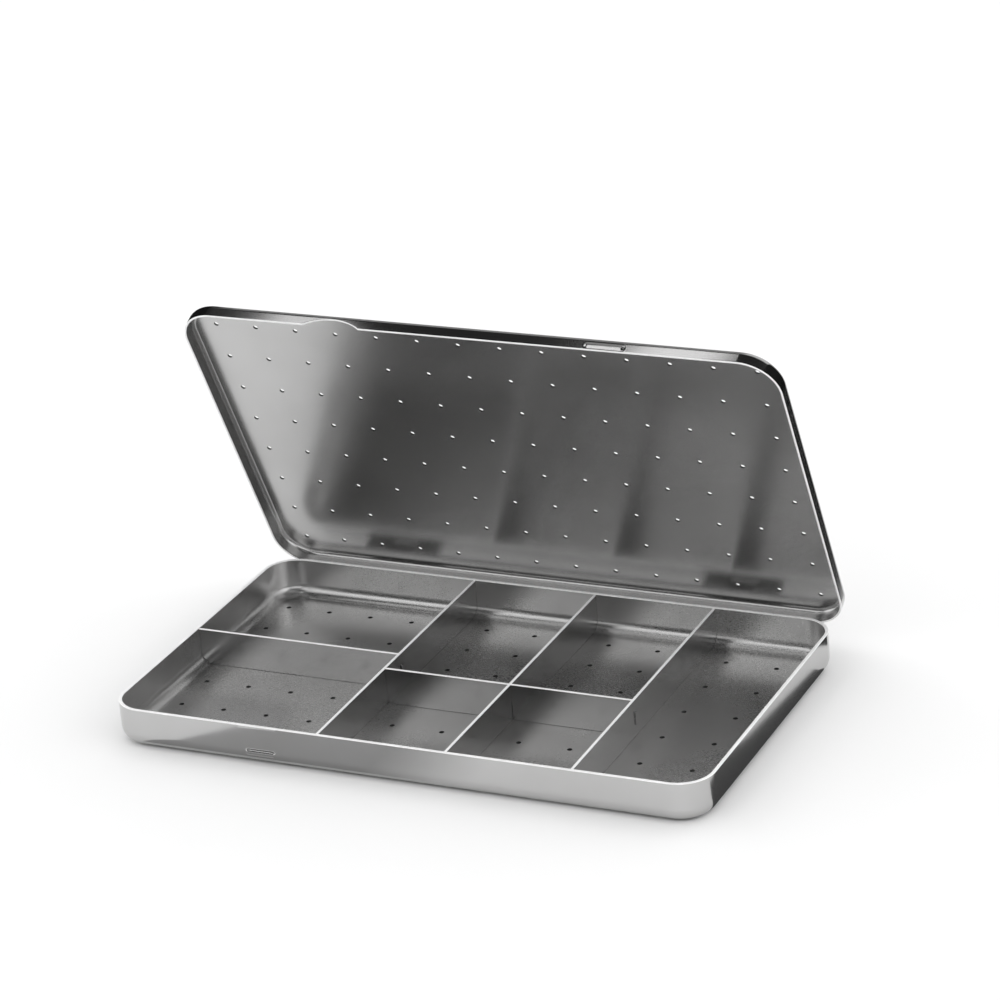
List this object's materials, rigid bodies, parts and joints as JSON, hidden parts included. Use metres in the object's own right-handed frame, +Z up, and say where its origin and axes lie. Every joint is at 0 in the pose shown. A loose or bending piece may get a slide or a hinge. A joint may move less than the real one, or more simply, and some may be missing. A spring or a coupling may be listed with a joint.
{
  "type": "sterilization container",
  "caption": "Flat rectangular steel case with rounded corners, a floor divided into compartments and a perforated lid hinged along its back edge.",
  "frame": {"origin": "middle of the tray's flat underside, on the surface that it rests on", "axes": "+X to the right along the length, parallel to the hinge axis; +Y from the front wall to the hinge side; +Z up"},
  "size_m": [0.1826, 0.1146, 0.1079],
  "materials": {
    "tray_steel": "satin-polished stainless sheet",
    "lid_steel": "satin-polished stainless sheet",
    "divider_steel": "polished stainless sheet with bright cut edges",
    "hinge_steel": "rolled stainless strip",
    "pin_steel": "drawn stainless wire"
  },
  "bodies": {
    "tray": {"base_tray": "tray_steel", "divider_left": "divider_steel", "divider_middle": "divider_steel", "divider_right": "divider_steel", "cross_divider_left": "divider_steel", "cross_divider_right": "divider_steel", "hinge_base_leaf_left": "hinge_steel", "hinge_pin_left": "pin_steel", "hinge_base_leaf_right": "hinge_steel", "hinge_pin_right": "pin_steel"},
    "lid": {"lid_cover": "lid_steel", "hinge_lid_leaf_left": "hinge_steel", "hinge_lid_leaf_right": "hinge_steel"}
  },
  "joints": [
    {"name": "lid_hinge", "type": "hinge", "parent": "tray", "child": "lid", "pos_m": [0, 0.05575, 0.006], "axis": [-1, 0, 0], "range_deg": [-64.7, 110.3]}
  ]
}
